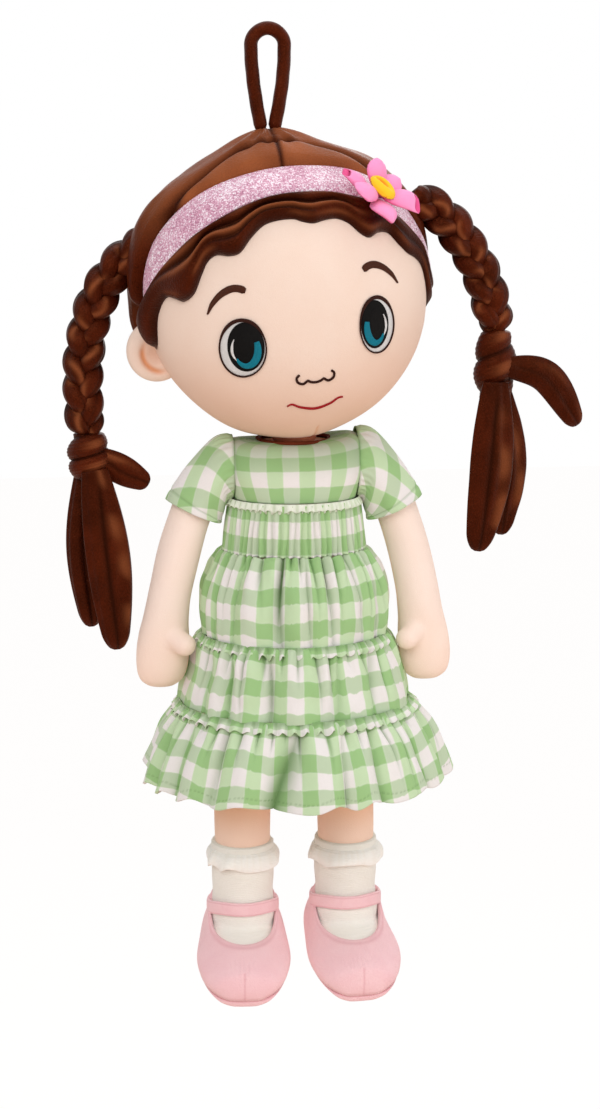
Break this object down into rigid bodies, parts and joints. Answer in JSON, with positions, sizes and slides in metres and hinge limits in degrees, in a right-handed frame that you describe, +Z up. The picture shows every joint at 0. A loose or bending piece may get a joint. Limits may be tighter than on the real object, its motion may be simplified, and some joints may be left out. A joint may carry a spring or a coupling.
{
  "type": "plush baby doll",
  "caption": "Plush baby doll hanging from a crown loop, with plaited hair, a padded headband and flower, a tiered green gingham dress, frilled socks and pink felt shoes.",
  "frame": {"origin": "inside top of the hanging loop, where a hook bears", "axes": "+Z up, the doll faces -Y, +X towards the doll's own left hand"},
  "size_m": [0.2957, 0.1556, 0.5491],
  "materials": {
    "hair": "short chestnut plush",
    "skin": "brushed peach jersey",
    "band": "padded cloth with fine glitter",
    "petal": "pink foam felt",
    "yellow": "yellow felt",
    "white": "white satin thread and ruffle",
    "teal": "teal satin thread",
    "brown": "dark brown satin thread",
    "red": "red thread",
    "gingham": "green and white gingham cotton",
    "green": "green overlocked edging",
    "sock": "cream knit",
    "shoe": "pink felt"
  },
  "bodies": {
    "loop": {"hanging_loop": "hair"},
    "head": {"head": "skin", "headband": "band", "hair_fringe": "hair", "hair_cap": "hair", "right_ear": "skin", "left_ear": "skin", "right_eye_white": "white", "right_iris": "teal", "right_pupil": "brown", "right_brow": "brown", "left_eye_white": "white", "left_iris": "teal", "left_pupil": "brown", "left_brow": "brown", "nose": "brown", "mouth": "red", "petal_1": "petal", "petal_2": "petal", "petal_3": "petal", "petal_4": "petal", "petal_5": "petal", "petal_6": "petal", "flower_centre": "yellow"},
    "neck": {"neck": "skin"},
    "torso": {"torso": "skin", "bodice": "gingham", "midriff": "gingham", "heading_frill": "white", "skirt_tier_1": "gingham", "skirt_tier_2": "gingham", "skirt_tier_3": "gingham", "seam_frill_1": "green", "seam_frill_2": "green"},
    "right_arm": {"right_arm": "skin", "right_sleeve": "gingham"},
    "left_arm": {"left_arm": "skin", "left_sleeve": "gingham"},
    "right_leg": {"right_leg": "skin", "right_sock": "sock", "right_sock_frill": "sock", "right_shoe_upper": "shoe", "right_shoe_strap": "shoe", "right_shoe_sole": "shoe"},
    "left_leg": {"left_leg": "skin", "left_sock": "sock", "left_sock_frill": "sock", "left_shoe_upper": "shoe", "left_shoe_strap": "shoe", "left_shoe_sole": "shoe"},
    "right_braid": {"right_braid": "hair", "right_braid_tie": "hair", "right_tie_tail": "hair", "right_braid_end_front": "hair", "right_braid_end_back": "hair"},
    "left_braid": {"left_braid": "hair", "left_braid_tie": "hair", "left_tie_tail": "hair", "left_braid_end_front": "hair", "left_braid_end_back": "hair"}
  },
  "joints": [
    {"name": "loop_swing", "type": "hinge", "parent": "loop", "child": "head", "pos_m": [0, 0, -0.0479], "axis": [1, 0, 0], "range_deg": [-30, 30]},
    {"name": "neck_nod", "type": "hinge", "parent": "head", "child": "neck", "pos_m": [0.0145, 0, -0.21672], "axis": [1, 0, 0], "range_deg": [-8, 8], "stiffness_Nm_per_rad": 0.05},
    {"name": "neck_turn", "type": "hinge", "parent": "neck", "child": "torso", "pos_m": [0.0145, 0, -0.21672], "axis": [0, 0, 1], "range_deg": [-15, 15], "stiffness_Nm_per_rad": 0.02},
    {"name": "right_shoulder", "type": "hinge", "parent": "torso", "child": "right_arm", "pos_m": [-0.0196, 0, -0.23645], "axis": [-1, 0, 0], "range_deg": [-15, 90], "stiffness_Nm_per_rad": 0.004},
    {"name": "left_shoulder", "type": "hinge", "parent": "torso", "child": "left_arm", "pos_m": [0.0486, 0, -0.23645], "axis": [-1, 0, 0], "range_deg": [-15, 90], "stiffness_Nm_per_rad": 0.004},
    {"name": "right_hip", "type": "hinge", "parent": "torso", "child": "right_leg", "pos_m": [-0.016, 0, -0.32295], "axis": [-1, 0, 0], "range_deg": [-20, 25], "stiffness_Nm_per_rad": 0.02},
    {"name": "left_hip", "type": "hinge", "parent": "torso", "child": "left_leg", "pos_m": [0.045, 0, -0.32295], "axis": [-1, 0, 0], "range_deg": [-20, 25], "stiffness_Nm_per_rad": 0.02},
    {"name": "right_braid_swing", "type": "hinge", "parent": "head", "child": "right_braid", "pos_m": [-0.0722, 0, -0.1064], "axis": [0, 1, 0], "range_deg": [0, 25]},
    {"name": "left_braid_swing", "type": "hinge", "parent": "head", "child": "left_braid", "pos_m": [0.086, 0, -0.0818], "axis": [0, -1, 0], "range_deg": [0, 25]}
  ]
}
